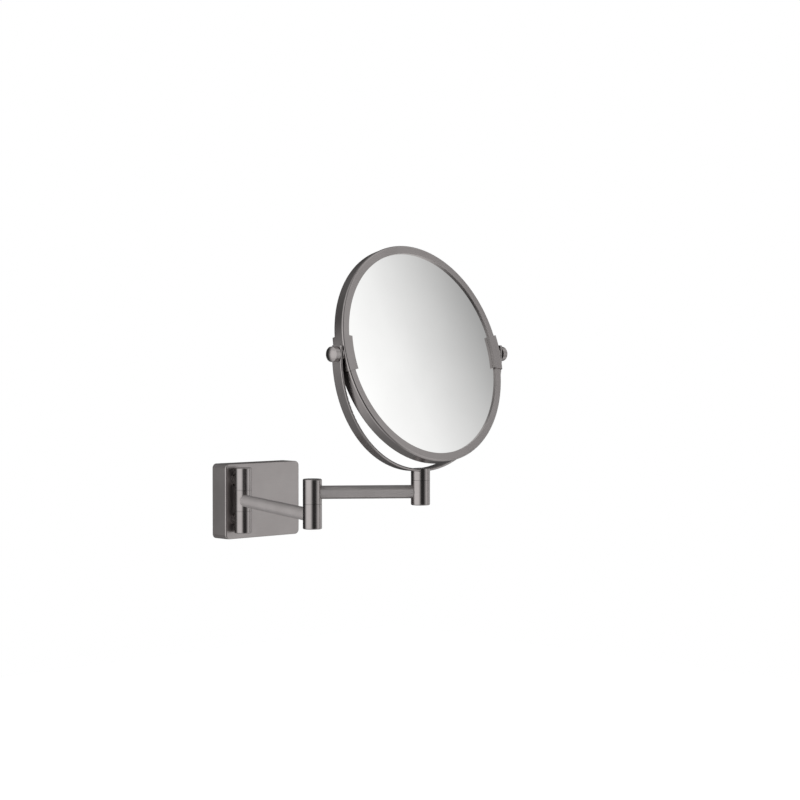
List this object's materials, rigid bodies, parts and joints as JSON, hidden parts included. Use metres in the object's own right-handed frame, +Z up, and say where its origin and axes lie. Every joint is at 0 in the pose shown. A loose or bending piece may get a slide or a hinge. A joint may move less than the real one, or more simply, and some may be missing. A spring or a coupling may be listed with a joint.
{
  "type": "extendable wall mirror",
  "caption": "Wall-mounted shaving mirror on hinged tubular arms: a round reversible mirror tilts in a half-ring yoke that swivels at the end of the arm.",
  "frame": {"origin": "centre of the wall plate's face that lies on the wall", "axes": "-Y out of the wall into the room, +Z up, +X to the right for someone facing the wall"},
  "size_m": [0.2272, 0.3063, 0.2814],
  "materials": {
    "satin_chrome": "satin, dark warm grey plating",
    "plain_steel": "zinc-plated",
    "dark_plastic": "moulded, matt",
    "mirror_glass": "silvered glass"
  },
  "bodies": {
    "wall_mount": {"wall_bracket": "plain_steel", "plate_cover": "satin_chrome", "cover_grub_screw": "plain_steel", "carrier_plate": "plain_steel", "post_screws": "plain_steel", "hinge_posts": "satin_chrome", "upper_wall_knuckle": "satin_chrome", "lower_wall_knuckle": "satin_chrome", "wall_hinge_pin": "plain_steel", "wall_hinge_caps": "satin_chrome", "wall_hinge_washers": "dark_plastic"},
    "first_arm": {"shoulder_knuckle": "satin_chrome", "shoulder_bush": "dark_plastic", "first_arm_tube": "satin_chrome", "elbow_lower_knuckle": "satin_chrome", "elbow_lower_cap": "satin_chrome", "elbow_pin": "plain_steel", "elbow_washer": "dark_plastic", "elbow_circlip": "plain_steel"},
    "second_arm": {"elbow_upper_knuckle": "satin_chrome", "elbow_bush": "dark_plastic", "elbow_upper_cap": "satin_chrome", "second_arm_tube": "satin_chrome", "neck_lower_knuckle": "satin_chrome", "neck_bush": "dark_plastic", "neck_lower_cap": "satin_chrome", "neck_washer": "dark_plastic"},
    "yoke": {"neck_stem": "satin_chrome", "yoke_bar": "satin_chrome", "neck_bolt": "plain_steel", "neck_nut": "plain_steel", "pivot_bushes": "dark_plastic"},
    "mirror_head": {"mirror_rim": "satin_chrome", "plain_mirror": "mirror_glass", "magnifying_mirror": "mirror_glass", "glass_spacer": "dark_plastic", "left_clip": "satin_chrome", "right_clip": "satin_chrome", "pivot_bosses": "satin_chrome", "pivot_screws": "plain_steel", "pivot_knobs": "satin_chrome", "knob_washers": "dark_plastic"}
  },
  "joints": [
    {"name": "wall_hinge", "type": "hinge", "parent": "wall_mount", "child": "first_arm", "pos_m": [-0.0353, -0.0322, 0.0017], "axis": [0, 0, 1], "range_deg": [-68.8, 111.2]},
    {"name": "elbow_hinge", "type": "hinge", "parent": "first_arm", "child": "second_arm", "pos_m": [-0.10618, -0.21494, 0.0225], "axis": [0, 0, 1], "continuous": true},
    {"name": "neck_swivel", "type": "hinge", "parent": "second_arm", "child": "yoke", "pos_m": [-0.02956, -0.27523, 0.033], "axis": [0, 0, 1], "continuous": true},
    {"name": "mirror_tilt", "type": "hinge", "parent": "yoke", "child": "mirror_head", "pos_m": [-0.02956, -0.27523, 0.1464], "axis": [0.9995, 0.0314, 0], "continuous": true}
  ]
}
